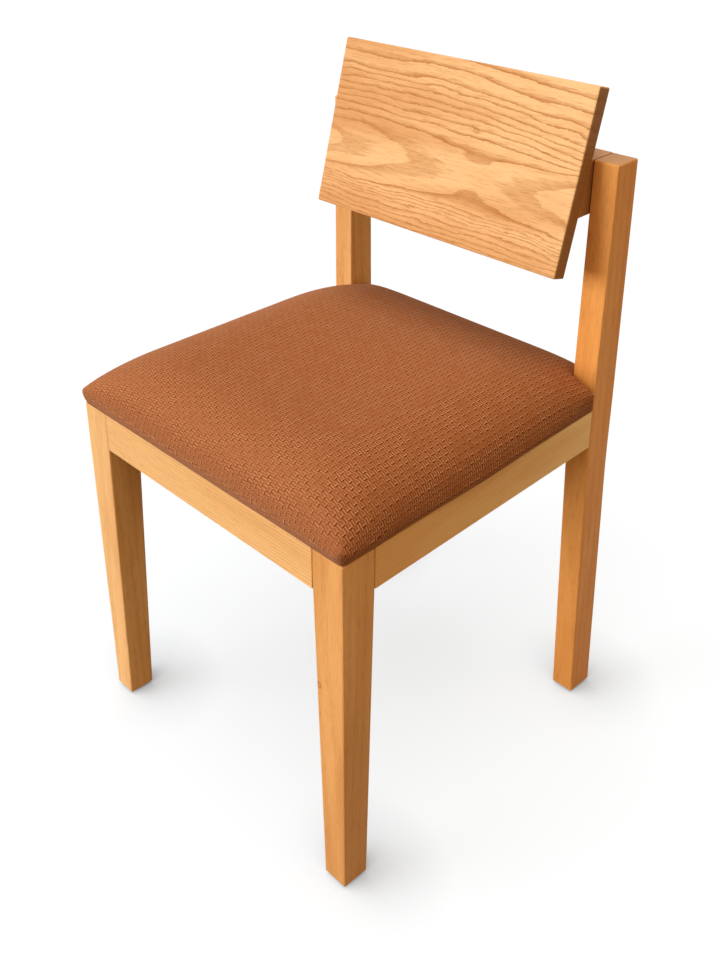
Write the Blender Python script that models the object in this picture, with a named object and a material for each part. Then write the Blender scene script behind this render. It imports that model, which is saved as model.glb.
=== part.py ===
# Restaurant side chair: solid oak frame, tilted backrest board, upholstered seat pad.
# Metres, +Z up. The chair faces -Y; right is +X, as seen from the front.
# Design coordinates have Y = 0 at the front faces of the front legs and Z = 0 on the floor.

import math

import bmesh
import bpy
from mathutils import Matrix, Vector

# Fits between pieces
GAP = 0.0003                  # between pieces that touch or are glued
HOLE_CLEARANCE = 0.0004       # round a screw or nail, on the radius
CUT_MARGIN = 0.004            # how far a cutter runs past the face that it opens
ROUND_SIDES = 12              # sides of a small turned piece or of its hole

# Seat frame
FRONT_WIDTH = 0.4324          # over the outer faces of the front legs
SEAT_NARROWING = 0.014        # how much less it is over the outer faces of the back posts
SEAT_DEPTH = 0.4017           # from the front of the legs to the front of the posts
RAIL_TOP = 0.433
RAIL_HEIGHT = 0.0482
RAIL_THICKNESS = 0.022
RAIL_EASE = 0.0008
WOOD_EASE = 0.0018            # rounding of the edges of legs, posts and board
EASE_SEGMENTS = 2
EASE_ANGLE = math.radians(30)

# Front legs, square to the rails and tapered below them on their two inner faces
LEG_WIDTH = 0.0418
LEG_DEPTH = 0.0434
LEG_FOOT_WIDTH = 0.0308
LEG_FOOT_DEPTH = 0.0337

# Back posts, upright from the seat up and raked back from the seat down
POST_TOP = 0.721
POST_WIDTH = 0.0304
POST_DEPTH = 0.0397
POST_HEAD_DEPTH = 0.0355
POST_HEAD_LEAN = 0.0016       # front face at the head, behind the front face at the seat
POST_FOOT_WIDTH = 0.0292
POST_FOOT_DEPTH = 0.038
POST_FOOT_RAKE = 0.0172       # front face at the foot, behind the front face at the seat
POST_BEND_LENGTH = 0.060
POST_BEND_STEPS = 4

# Mortise and tenon joints
TENON_THICKNESS = 0.010
TENON_SHOULDER = 0.005        # above and below each tenon
TENON_LENGTH = 0.018          # of every tenon in a back post

# Cross rail of the back, a wedge that carries the board: proud of the posts in front, and flush with
# their heads above and behind
BACK_RAIL_BOTTOM = 0.6607
BACK_RAIL_PROUD = 0.0222      # in front of the posts, at its lower edge

# Backrest board
BOARD_LAP = 0.0028            # over the inner face of each post
BOARD_HEIGHT = 0.2028
BOARD_THICKNESS = 0.0187
BOARD_TILT = math.radians(15.2)
BOARD_BELOW_RAIL = 0.0643     # along the board, from its lower edge to the rail's
BOARD_SCREW_DIAMETER = 0.0045
BOARD_SCREW_HEAD = 0.009
BOARD_SCREW_BITE = 0.011      # into the board
BOARD_SCREW_COUNT = 4
BOARD_SCREW_MARGIN = 0.0402   # from each end of the board to the nearest screw
PLUG_DIAMETER = 0.0105
PLUG_LENGTH = 0.006

# Corner blocks of the seat frame and their screws
BLOCK_REACH = 0.072           # along each rail from the inner corner
BLOCK_HEIGHT = 0.030
BLOCK_DROP = 0.003            # below the top of the rails
BLOCK_SCREW_OFFSET = 0.050    # along the rail from the inner corner
BLOCK_SCREW_SEAT = 0.010      # wood under the screw's head
BLOCK_SCREW_BITE = 0.015      # into the rail
BLOCK_SCREW_DIAMETER = 0.004
BLOCK_SCREW_HEAD = 0.008

# Seat pad
PAD_BULGE = 0.005             # past the frame's faces at its widest
PAD_CROWN = 0.044             # from its widest line to its top
PAD_ROLL = 0.100              # width of the rounded edge
PAD_REAR_ROLL = 0.150
PAD_ROUNDNESS = 2.1           # power of the rounded edge, 2 for an ellipse
PAD_CORNER_RADIUS = 0.010
PAD_CORNER_GROWTH = 0.35      # how fast the corners open out up the pad
PAD_SIDE_POINTS = 8
PAD_CORNER_STEPS = 2
PAD_ROLL_STEPS = 6
PAD_WALL_STEPS = 3
PAD_TOP_INSET = 0.150         # of the loop that the top closes on
PAD_POST_GAP = 0.0005
COVER_THICKNESS = 0.0015
COVER_TURN_UNDER = 0.019
BASE_THICKNESS = 0.012
BASE_INSET = 0.003
DUST_THICKNESS = 0.0006
DUST_INSET = 0.0215
SEAT_SCREW_OFFSET = 0.030     # along both rails from the inner corner
SEAT_SCREW_DIAMETER = 0.0045
SEAT_SCREW_HEAD = 0.009
SEAT_SCREW_BITE = 0.009       # into the plywood base

# Glides
GLIDE_THICKNESS = 0.003
GLIDE_DIAMETER = 0.020
GLIDE_ROUND = 0.001
GLIDE_SIDES = 24
NAIL_DIAMETER = 0.0024
NAIL_HEAD = 0.006
NAIL_HEAD_HEIGHT = 0.0008
NAIL_SINK = 0.0008            # head above the face that rests on the floor
NAIL_BITE = 0.014             # into the foot

# Screw proportions
SCREW_HEAD_RATIO = 0.35       # head height to head diameter
SCREW_CROWN_RATIO = 0.65      # flat of the head to head diameter
SCREW_POINT_RATIO = 1.5       # length of the point to shank diameter

# Derived planes
FRONT_HALF = FRONT_WIDTH / 2
REAR_HALF = (FRONT_WIDTH - SEAT_NARROWING) / 2
RAIL_BOTTOM = RAIL_TOP - RAIL_HEIGHT
FOOT_LEVEL = GLIDE_THICKNESS + GAP
LEG_INNER_X = FRONT_HALF - LEG_WIDTH
POST_INNER_X = REAR_HALF - POST_WIDTH
POST_REAR_Y = SEAT_DEPTH + POST_DEPTH
BOARD_HALF = POST_INNER_X + BOARD_LAP
TENON_INSET = (RAIL_THICKNESS - TENON_THICKNESS) / 2
TENON_LOW = RAIL_BOTTOM + TENON_SHOULDER
TENON_HIGH = RAIL_TOP - TENON_SHOULDER
BACK_RAIL_MIDDLE = (BACK_RAIL_BOTTOM + POST_TOP) / 2
COVER_BOTTOM = RAIL_TOP + GAP
BASE_BOTTOM = COVER_BOTTOM + COVER_THICKNESS + GAP
BASE_TOP = BASE_BOTTOM + BASE_THICKNESS
PAD_WIDEST = BASE_TOP + GAP
BLOCK_TOP = RAIL_TOP - BLOCK_DROP
BLOCK_BOTTOM = BLOCK_TOP - BLOCK_HEIGHT
FOOT_REAR_Y = SEAT_DEPTH + POST_FOOT_RAKE + POST_FOOT_DEPTH
CENTRE_Y = (FOOT_REAR_Y - PAD_BULGE) / 2

SIDES = {"left": -1, "right": 1}
ENDS = ("front", "rear")


# Building helpers

def clear_scene():
    for item in list(bpy.data.objects):
        bpy.data.objects.remove(item, do_unlink=True)


def make_material(name, color, roughness, metallic=0.0):
    material = bpy.data.materials.new(name)
    material.use_nodes = True
    shader = material.node_tree.nodes["Principled BSDF"]
    shader.inputs["Base Color"].default_value = (*color, 1.0)
    shader.inputs["Roughness"].default_value = roughness
    shader.inputs["Metallic"].default_value = metallic
    material.diffuse_color = (*color, 1.0)
    return material


def object_from(name, bm):
    bmesh.ops.recalc_face_normals(bm, faces=bm.faces)
    mesh = bpy.data.meshes.new(name)
    bm.to_mesh(mesh)
    bm.free()
    item = bpy.data.objects.new(name, mesh)
    bpy.context.collection.objects.link(item)
    return item


def loft(name, loops):
    # closed loops with equal numbers of points, joined by bands and capped at both ends
    bm = bmesh.new()
    rings = [[bm.verts.new(point) for point in loop] for loop in loops]
    for lower, upper in zip(rings, rings[1:]):
        for index in range(len(lower)):
            following = (index + 1) % len(lower)
            bm.faces.new((lower[index], lower[following], upper[following], upper[index]))
    bm.faces.new(rings[0])
    bm.faces.new(rings[-1])
    return object_from(name, bm)


def prism(name, outline, low, high):
    # upright prism on a plan outline
    return loft(name, [[(x, y, z) for x, y in outline] for z in (low, high)])


def block(name, low, high):
    outline = [(low[0], low[1]), (high[0], low[1]), (high[0], high[1]), (low[0], high[1])]
    return prism(name, outline, low[2], high[2])


def turned(name, profile, sides=ROUND_SIDES):
    # solid of revolution about Z; the profile runs from axis to axis
    bm = bmesh.new()
    rings = []
    for radius, height in profile:
        if radius == 0:
            rings.append([bm.verts.new((0, 0, height))])
            continue
        turns = [2 * math.pi * step / sides for step in range(sides)]
        rings.append([bm.verts.new((radius * math.cos(a), radius * math.sin(a), height)) for a in turns])
    for lower, upper in zip(rings, rings[1:]):
        for index in range(sides):
            following = (index + 1) % sides
            corners = [lower[index % len(lower)], lower[following % len(lower)]]
            corners += [upper[following % len(upper)], upper[index % len(upper)]]
            bm.faces.new(list(dict.fromkeys(corners)))
    item = object_from(name, bm)
    item.data.shade_smooth()
    item.data.set_sharp_from_angle(angle=EASE_ANGLE)
    return item


def turned_ring(name, profile, sides):
    # solid of revolution about Z of a closed profile that stays off the axis
    bm = bmesh.new()
    turns = [2 * math.pi * step / sides for step in range(sides)]
    rings = [[bm.verts.new((r * math.cos(a), r * math.sin(a), z)) for a in turns] for r, z in profile]
    for lower, upper in zip(rings, rings[1:] + rings[:1]):
        for index in range(sides):
            following = (index + 1) % sides
            bm.faces.new((lower[index], lower[following], upper[following], upper[index]))
    item = object_from(name, bm)
    item.data.shade_smooth()
    item.data.set_sharp_from_angle(angle=EASE_ANGLE)
    return item


def rod(name, start, direction, radius, length):
    # cylinder that begins at start and runs along direction
    item = turned(name, [(0, 0), (radius, 0), (radius, length), (0, length)])
    item.data.transform(aim(start, direction))
    return item


def screw_room(seat, outward, hole, reach, mouth, mouth_depth):
    # stepped cutter: a hole down from the seat of a screw's head, and a wider mouth up from it
    profile = [(0, -reach), (hole, -reach), (hole, 0), (mouth, 0), (mouth, mouth_depth), (0, mouth_depth)]
    item = turned("screw_room", profile)
    item.data.transform(aim(seat, outward))
    return item


def aim(point, direction):
    # turns local +Z to a direction and moves the origin to a point
    turn = Vector((0, 0, 1)).rotation_difference(Vector(direction)).to_matrix().to_4x4()
    return Matrix.Translation(point) @ turn


def bake(item):
    # keeps the evaluated mesh and drops the modifiers that made it
    bpy.context.view_layer.update()
    graph = bpy.context.evaluated_depsgraph_get()
    mesh = bpy.data.meshes.new_from_object(item.evaluated_get(graph))
    item.modifiers.clear()
    item.data = mesh
    return item


def combine(item, tools, operation):
    # Boolean of one object with each tool in turn; the tools are used up
    for tool in tools:
        modifier = item.modifiers.new("joinery", "BOOLEAN")
        modifier.solver = "EXACT"
        modifier.operation = operation
        modifier.object = tool
        bake(item)
        bpy.data.objects.remove(tool, do_unlink=True)
    return item


def cut(item, tools):
    return combine(item, tools, "DIFFERENCE")


def ease(item, width):
    # rounds the sharp edges of a wooden piece
    modifier = item.modifiers.new("eased_edges", "BEVEL")
    modifier.width = width
    modifier.segments = EASE_SEGMENTS
    modifier.limit_method = "ANGLE"
    modifier.angle_limit = EASE_ANGLE
    return bake(item)


def place(item, name, origin, material, root):
    # gives a finished piece its name, its own origin, its material and its parent
    item.name = name
    item.data.name = name
    item.data.transform(Matrix.Translation(-Vector(origin)))
    item.location = origin
    item.data.materials.clear()
    item.data.materials.append(material)
    item.parent = root
    return item


# Frame lines that several pieces share

def side_outer_x(y):
    # outer face of a side rail, flush with the leg in front and the post behind
    share = (y - LEG_DEPTH) / (SEAT_DEPTH - LEG_DEPTH)
    return FRONT_HALF + (REAR_HALF - FRONT_HALF) * share


def side_inner_x(y):
    return side_outer_x(y) - RAIL_THICKNESS


def post_front_y(z):
    if z >= RAIL_TOP:
        return SEAT_DEPTH + POST_HEAD_LEAN * (z - RAIL_TOP) / (POST_TOP - RAIL_TOP)
    drop = max(RAIL_BOTTOM - z, 0)
    slope = POST_FOOT_RAKE / (RAIL_BOTTOM - FOOT_LEVEL - POST_BEND_LENGTH / 2)
    if drop < POST_BEND_LENGTH:
        return SEAT_DEPTH + slope * drop ** 2 / (2 * POST_BEND_LENGTH)
    return SEAT_DEPTH + slope * (drop - POST_BEND_LENGTH / 2)


def post_depth(z):
    if z >= RAIL_TOP:
        return POST_DEPTH + (POST_HEAD_DEPTH - POST_DEPTH) * (z - RAIL_TOP) / (POST_TOP - RAIL_TOP)
    share = max(RAIL_BOTTOM - z, 0) / (RAIL_BOTTOM - FOOT_LEVEL)
    return POST_DEPTH + (POST_FOOT_DEPTH - POST_DEPTH) * share


def post_width(z):
    share = max(RAIL_BOTTOM - z, 0) / (RAIL_BOTTOM - FOOT_LEVEL)
    return POST_WIDTH + (POST_FOOT_WIDTH - POST_WIDTH) * share


def back_rail_front_y(z):
    # sloping front face of the cross rail
    lower_edge = post_front_y(BACK_RAIL_BOTTOM) - BACK_RAIL_PROUD
    return lower_edge + (z - BACK_RAIL_BOTTOM) * math.tan(BOARD_TILT)


def post_rear_y(z):
    return post_front_y(z) + post_depth(z)


def back_tenon_y():
    # middle of the cross rail's tenon, in the middle of the post
    return post_front_y(BACK_RAIL_MIDDLE) + post_depth(BACK_RAIL_MIDDLE) / 2


def foot_centre(end, sign):
    if end == "front":
        return Vector((sign * (FRONT_HALF - LEG_FOOT_WIDTH / 2), LEG_FOOT_DEPTH / 2, 0))
    x = sign * (REAR_HALF - POST_FOOT_WIDTH / 2)
    return Vector((x, SEAT_DEPTH + POST_FOOT_RAKE + POST_FOOT_DEPTH / 2, 0))


def mirrored(points, sign):
    # plan points of a right-hand piece, or of its mirror image
    return [(sign * x, y) for x, y in points]


# Legs and posts

def nail_hole(centre):
    length = NAIL_BITE + CUT_MARGIN + 2 * GAP
    start = centre + Vector((0, 0, FOOT_LEVEL - CUT_MARGIN))
    return rod("nail_hole", start, (0, 0, 1), NAIL_DIAMETER / 2 + HOLE_CLEARANCE, length)


def front_leg(sign):
    sections = []
    for z, width, depth in (
        (FOOT_LEVEL, LEG_FOOT_WIDTH, LEG_FOOT_DEPTH),
        (RAIL_BOTTOM, LEG_WIDTH, LEG_DEPTH),
        (RAIL_TOP, LEG_WIDTH, LEG_DEPTH),
    ):
        outer, inner = sign * FRONT_HALF, sign * (FRONT_HALF - width)
        sections.append([(outer, 0, z), (inner, 0, z), (inner, depth, z), (outer, depth, z)])
    leg = ease(loft("leg", sections), WOOD_EASE)
    near, far = TENON_INSET - GAP, TENON_INSET + TENON_THICKNESS + GAP
    low, high = TENON_LOW - GAP, TENON_HIGH + GAP
    for_front_rail = [
        (FRONT_HALF - near, near), (LEG_INNER_X - CUT_MARGIN, near),
        (LEG_INNER_X - CUT_MARGIN, far), (FRONT_HALF - near, far),
    ]
    for_side_rail = [
        (FRONT_HALF - near, near), (FRONT_HALF - far, near),
        (FRONT_HALF - far, LEG_DEPTH + CUT_MARGIN), (FRONT_HALF - near, LEG_DEPTH + CUT_MARGIN),
    ]
    plans = (for_front_rail, for_side_rail)
    mortises = [prism("mortise", mirrored(plan, sign), low, high) for plan in plans]
    return cut(leg, mortises + [nail_hole(foot_centre("front", sign))])


def back_post(sign):
    steps = range(POST_BEND_STEPS, 0, -1)
    bend = [RAIL_BOTTOM - POST_BEND_LENGTH * step / POST_BEND_STEPS for step in steps]
    sections = []
    for z in [FOOT_LEVEL] + bend + [RAIL_BOTTOM, RAIL_TOP, POST_TOP]:
        front, rear = post_front_y(z), post_rear_y(z)
        outer, inner = sign * REAR_HALF, sign * (REAR_HALF - post_width(z))
        sections.append([(outer, front, z), (inner, front, z), (inner, rear, z), (outer, rear, z)])
    post = ease(loft("post", sections), WOOD_EASE)
    near, far = TENON_INSET - GAP, TENON_INSET + TENON_THICKNESS + GAP
    depth = TENON_LENGTH + GAP
    for_side_rail = [
        (REAR_HALF - far, SEAT_DEPTH - CUT_MARGIN), (REAR_HALF - near, SEAT_DEPTH - CUT_MARGIN),
        (REAR_HALF - near, SEAT_DEPTH + depth), (REAR_HALF - far, SEAT_DEPTH + depth),
    ]
    for_rear_rail = [
        (POST_INNER_X - CUT_MARGIN, POST_REAR_Y - far), (POST_INNER_X + depth, POST_REAR_Y - far),
        (POST_INNER_X + depth, POST_REAR_Y - near), (POST_INNER_X - CUT_MARGIN, POST_REAR_Y - near),
    ]
    half = TENON_THICKNESS / 2 + GAP
    for_back_rail = [
        (POST_INNER_X - CUT_MARGIN, back_tenon_y() - half), (POST_INNER_X + depth, back_tenon_y() - half),
        (POST_INNER_X + depth, back_tenon_y() + half), (POST_INNER_X - CUT_MARGIN, back_tenon_y() + half),
    ]
    seat = (TENON_LOW - GAP, TENON_HIGH + GAP)
    back = (BACK_RAIL_BOTTOM + TENON_SHOULDER - GAP, POST_TOP - TENON_SHOULDER + GAP)
    mortises = []
    for plan, (low, high) in ((for_side_rail, seat), (for_rear_rail, seat), (for_back_rail, back)):
        mortises.append(prism("mortise", mirrored(plan, sign), low, high))
    return cut(post, mortises + [nail_hole(foot_centre("rear", sign))])


# Rails

def front_rail():
    shoulder = LEG_INNER_X - GAP
    rail = ease(block("rail", (-shoulder, 0, RAIL_BOTTOM), (shoulder, RAIL_THICKNESS, RAIL_TOP)), RAIL_EASE)
    near, far = TENON_INSET, TENON_INSET + TENON_THICKNESS
    tenons = []
    for sign in SIDES.values():
        # the tips are mitred, because this tenon meets the side rail's inside the leg
        plan = [
            (shoulder - CUT_MARGIN, near), (FRONT_HALF - near - GAP, near),
            (FRONT_HALF - far - GAP, far), (shoulder - CUT_MARGIN, far),
        ]
        tenons.append(prism("tenon", mirrored(plan, sign), TENON_LOW, TENON_HIGH))
    rail = combine(rail, tenons, "UNION")
    seats = [block_screw_seats("front", sign)["cross"] for sign in SIDES.values()]
    return cut(rail, [block_screw_room(*seat) for seat in seats])


def side_rail(sign):
    front, rear = LEG_DEPTH + GAP, SEAT_DEPTH - GAP
    plan = [
        (side_outer_x(front), front), (side_inner_x(front), front),
        (side_inner_x(rear), rear), (side_outer_x(rear), rear),
    ]
    rail = ease(prism("rail", mirrored(plan, sign), RAIL_BOTTOM, RAIL_TOP), RAIL_EASE)
    near, far = TENON_INSET, TENON_INSET + TENON_THICKNESS
    front_tenon = [
        (FRONT_HALF - near, near + GAP), (FRONT_HALF - far, far + GAP),
        (FRONT_HALF - far, front + CUT_MARGIN), (FRONT_HALF - near, front + CUT_MARGIN),
    ]
    tip = SEAT_DEPTH + TENON_LENGTH
    rear_tenon = [
        (REAR_HALF - far, rear - CUT_MARGIN), (REAR_HALF - near, rear - CUT_MARGIN),
        (REAR_HALF - near, tip), (REAR_HALF - far, tip),
    ]
    plans = (front_tenon, rear_tenon)
    tenons = [prism("tenon", mirrored(plan, sign), TENON_LOW, TENON_HIGH) for plan in plans]
    rail = combine(rail, tenons, "UNION")
    seats = [block_screw_seats(end, sign)["side"] for end in ENDS]
    return cut(rail, [block_screw_room(*seat) for seat in seats])


def rear_rail():
    shoulder = POST_INNER_X - GAP
    inner = POST_REAR_Y - RAIL_THICKNESS
    rail = block("rail", (-shoulder, inner, RAIL_BOTTOM), (shoulder, POST_REAR_Y, RAIL_TOP))
    rail = ease(rail, RAIL_EASE)
    tip = POST_INNER_X + TENON_LENGTH
    near = POST_REAR_Y - TENON_INSET - TENON_THICKNESS
    tenon = block("tenon", (-tip, near, TENON_LOW), (tip, near + TENON_THICKNESS, TENON_HIGH))
    rail = combine(rail, [tenon], "UNION")
    seats = [block_screw_seats("rear", sign)["cross"] for sign in SIDES.values()]
    return cut(rail, [block_screw_room(*seat) for seat in seats])


# Back

def board_screw_points():
    # where the heads of the board screws seat, inside the cross rail
    z = BACK_RAIL_MIDDLE
    y = post_rear_y(z) - PLUG_LENGTH - GAP - BOARD_SCREW_HEAD * SCREW_HEAD_RATIO - GAP
    reach = BOARD_HALF - BOARD_SCREW_MARGIN
    step = 2 * reach / (BOARD_SCREW_COUNT - 1)
    return [Vector((-reach + step * index, y, z)) for index in range(BOARD_SCREW_COUNT)]


def board_screw_length():
    seat = board_screw_points()[0]
    return seat.y - back_rail_front_y(seat.z) + BOARD_SCREW_BITE


def board_screw_room(seat):
    # counterbored through the cross rail and blind in the board
    hole = BOARD_SCREW_DIAMETER / 2 + HOLE_CLEARANCE
    mouth = PLUG_DIAMETER / 2 + HOLE_CLEARANCE
    depth = post_rear_y(seat.z) - seat.y + CUT_MARGIN
    return screw_room(seat, (0, 1, 0), hole, board_screw_length() + GAP, mouth, depth)


def back_rail():
    shoulder = POST_INNER_X - GAP
    low, high = BACK_RAIL_BOTTOM, POST_TOP
    section = [
        (back_rail_front_y(low), low), (post_rear_y(low), low),
        (post_rear_y(high), high), (back_rail_front_y(high), high),
    ]
    rail = ease(loft("rail", [[(x, y, z) for y, z in section] for x in (-shoulder, shoulder)]), RAIL_EASE)
    tip = POST_INNER_X + TENON_LENGTH
    near = back_tenon_y() - TENON_THICKNESS / 2
    tenon = block(
        "tenon", (-tip, near, low + TENON_SHOULDER), (tip, near + TENON_THICKNESS, high - TENON_SHOULDER))
    rail = combine(rail, [tenon], "UNION")
    return cut(rail, [board_screw_room(seat) for seat in board_screw_points()])


def board_origin():
    # middle of the board's lower rear edge
    back_gap = GAP / math.cos(BOARD_TILT)
    z = BACK_RAIL_BOTTOM - BOARD_BELOW_RAIL * math.cos(BOARD_TILT)
    return Vector((0, back_rail_front_y(z) - back_gap, z))


def backrest_board():
    board = block("board", (-BOARD_HALF, -BOARD_THICKNESS, 0), (BOARD_HALF, 0, BOARD_HEIGHT))
    board = ease(board, WOOD_EASE)
    stand = Matrix.Translation(board_origin()) @ Matrix.Rotation(-BOARD_TILT, 4, "X")
    board.data.transform(stand)
    board = cut(board, [board_screw_room(seat) for seat in board_screw_points()])
    # the finished board lies flat in its own axes and is stood up by its rotation
    board.data.transform(stand.inverted())
    board.data.transform(Matrix.Translation(board_origin()))
    return board


def board_screw(seat):
    profile = screw_profile(board_screw_length(), BOARD_SCREW_DIAMETER, BOARD_SCREW_HEAD)
    return fastener(profile, seat, (0, 1, 0))


def board_plug(seat):
    # closes a counterbore flush with the rear of the cross rail
    start = Vector((seat.x, post_rear_y(seat.z) - PLUG_LENGTH, seat.z))
    return rod("plug", start, (0, 1, 0), PLUG_DIAMETER / 2, PLUG_LENGTH)


# Screws

def screw_profile(length, diameter, head):
    # from the point, up the shank, round the pan head
    radius, head_radius, head_height = diameter / 2, head / 2, head * SCREW_HEAD_RATIO
    return [
        (0, -length), (radius, -length + diameter * SCREW_POINT_RATIO), (radius, 0), (head_radius, 0),
        (head_radius, head_height / 2), (head_radius * SCREW_CROWN_RATIO, head_height), (0, head_height),
    ]


def fastener(profile, seat, outward):
    # a screw whose head seats at a point and faces outward
    item = turned("fastener", profile)
    item.data.transform(aim(seat + GAP * Vector(outward), outward))
    return item


def block_corner(end, sign):
    # inner corner of the seat frame, and the way in from it along each rail
    if end == "front":
        y = RAIL_THICKNESS
        inward = Vector((-sign, 0, 0)), Vector((0, 1, 0))
    else:
        y = POST_REAR_Y - RAIL_THICKNESS
        inward = Vector((-sign, 0, 0)), Vector((0, -1, 0))
    return Vector((sign * side_inner_x(y), y, BLOCK_BOTTOM + BLOCK_HEIGHT / 2)), inward


def block_screw_seats(end, sign):
    # head seat and outward direction of a block's two screws, by the rail that each one bites
    corner, (across, along) = block_corner(end, sign)
    in_cross_rail = corner + BLOCK_SCREW_OFFSET * across + (BLOCK_SCREW_SEAT + GAP) * along
    y = (corner + BLOCK_SCREW_OFFSET * along).y
    on_side_rail = Vector((sign * side_inner_x(y), y, corner.z))
    in_side_rail = on_side_rail + (BLOCK_SCREW_SEAT + GAP) * across
    return {"cross": (in_cross_rail, along), "side": (in_side_rail, across)}


def block_screw_room(seat, outward):
    # counterbored through the corner block and blind in the rail
    hole = BLOCK_SCREW_DIAMETER / 2 + HOLE_CLEARANCE
    mouth = BLOCK_SCREW_HEAD / 2 + HOLE_CLEARANCE
    reach = BLOCK_SCREW_SEAT + BLOCK_SCREW_BITE + 2 * GAP
    return screw_room(seat, outward, hole, reach, mouth, BLOCK_REACH)


def seat_screw_seat(end, sign):
    # underside of a corner block, where a screw goes up into the seat base
    corner, (across, along) = block_corner(end, sign)
    point = corner + SEAT_SCREW_OFFSET * (across + along)
    return Vector((point.x, point.y, BLOCK_BOTTOM))


def seat_screw_length():
    return BASE_BOTTOM + SEAT_SCREW_BITE - BLOCK_BOTTOM


def seat_screw_hole(end, sign):
    # through the corner block and the lining, and blind in the base
    start = seat_screw_seat(end, sign) - Vector((0, 0, CUT_MARGIN))
    length = CUT_MARGIN + seat_screw_length() + GAP
    return rod("hole", start, (0, 0, 1), SEAT_SCREW_DIAMETER / 2 + HOLE_CLEARANCE, length)


def seat_screw_holes():
    return [seat_screw_hole(end, sign) for end in ENDS for sign in SIDES.values()]


# Corner blocks

def corner_block(end, sign):
    if end == "front":
        near, step = RAIL_THICKNESS + GAP, 1
        notch_x, notch_y = LEG_INNER_X - GAP, LEG_DEPTH + GAP
    else:
        near, step = POST_REAR_Y - RAIL_THICKNESS - GAP, -1
        notch_x, notch_y = POST_INNER_X - GAP, SEAT_DEPTH - GAP
    far = near + step * BLOCK_REACH
    plan = [
        (notch_x, near), (side_inner_x(near) - BLOCK_REACH, near), (side_inner_x(far) - GAP, far),
        (side_inner_x(notch_y) - GAP, notch_y), (notch_x, notch_y),
    ]
    item = prism("block", mirrored(plan, sign), BLOCK_BOTTOM, BLOCK_TOP)
    tools = [seat_screw_hole(end, sign)]
    tools += [block_screw_room(seat, outward) for seat, outward in block_screw_seats(end, sign).values()]
    return cut(item, tools)


def block_screw(seat, outward):
    length = BLOCK_SCREW_SEAT + BLOCK_SCREW_BITE
    profile = screw_profile(length, BLOCK_SCREW_DIAMETER, BLOCK_SCREW_HEAD)
    return fastener(profile, seat, outward)


def seat_screw(seat):
    profile = screw_profile(seat_screw_length(), SEAT_SCREW_DIAMETER, SEAT_SCREW_HEAD)
    return fastener(profile, seat, (0, 0, -1))


# Seat pad

def pad_outline(offset):
    # plan of the seat frame, moved out by an offset, with rounded corners
    front, rear = -offset, POST_REAR_Y + offset
    corners = [
        (FRONT_HALF + offset, front), (REAR_HALF + offset, rear),
        (-REAR_HALF - offset, rear), (-FRONT_HALF - offset, front),
    ]
    radius = PAD_CORNER_RADIUS + PAD_CORNER_GROWTH * max(PAD_BULGE - offset, 0)
    radius = min(radius, REAR_HALF + offset)
    points = []
    for index, corner in enumerate(corners):
        before, here, after = (Vector(corners[(index + k) % 4]) for k in (-1, 0, 1))
        arrive, leave = (here - before).normalized(), (after - here).normalized()
        arc = []
        for step in range(PAD_CORNER_STEPS + 1):
            turn = math.pi / 2 * step / PAD_CORNER_STEPS
            arc.append(here + radius * ((math.sin(turn) - 1) * arrive + (1 - math.cos(turn)) * leave))
        points += arc
        end = after - radius * leave
        for step in range(1, PAD_SIDE_POINTS):
            points.append(arc[-1].lerp(end, step / PAD_SIDE_POINTS))
    return points


def rolled(distance, width):
    # height of the rounded edge, as a share of the crown, at a distance in from the widest line
    share = 1 - min(max(distance / width, 0), 1)
    return (1 - share ** PAD_ROUNDNESS) ** (1 / PAD_ROUNDNESS)


def pad_height(point):
    side = FRONT_HALF + (REAR_HALF - FRONT_HALF) * point.y / POST_REAR_Y + PAD_BULGE
    share = rolled(side - abs(point.x), PAD_ROLL)
    share *= rolled(point.y + PAD_BULGE, PAD_ROLL)
    share *= rolled(POST_REAR_Y + PAD_BULGE - point.y, PAD_REAR_ROLL)
    return PAD_WIDEST + PAD_CROWN * share


def pad_top_loops():
    # loops of the crowned top, from the widest line inwards
    insets = []
    for step in range(PAD_ROLL_STEPS + 1):
        insets.append(PAD_ROLL * (1 - math.cos(math.pi / 2 * step / PAD_ROLL_STEPS)))
    insets.append(PAD_TOP_INSET)
    return [[(p.x, p.y, pad_height(p)) for p in pad_outline(PAD_BULGE - inset)] for inset in insets]


def pad_wall_loops():
    # loops of the cover below the widest line, from the edge turned under the base
    loops = [[(p.x, p.y, COVER_BOTTOM) for p in pad_outline(-COVER_TURN_UNDER)]]
    for step in range(PAD_WALL_STEPS):
        share = step / PAD_WALL_STEPS
        z = COVER_BOTTOM + (PAD_WIDEST - COVER_BOTTOM) * share
        offset = PAD_BULGE * math.sin(math.pi / 2 * share)
        loops.append([(p.x, p.y, z) for p in pad_outline(offset)])
    return loops


def pad_skin(loops):
    # open skin over the loops, closed only at the top
    bm = bmesh.new()
    rings = [[bm.verts.new(point) for point in loop] for loop in loops]
    for lower, upper in zip(rings, rings[1:]):
        for index in range(len(lower)):
            following = (index + 1) % len(lower)
            bm.faces.new((lower[index], lower[following], upper[following], upper[index]))
    summit = Vector((0, POST_REAR_Y / 2, 0))
    peak = bm.verts.new((summit.x, summit.y, pad_height(summit)))
    for index, vertex in enumerate(rings[-1]):
        bm.faces.new((vertex, rings[-1][(index + 1) % len(rings[-1])], peak))
    bmesh.ops.recalc_face_normals(bm, faces=bm.faces)
    return bm, rings[0]


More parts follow.
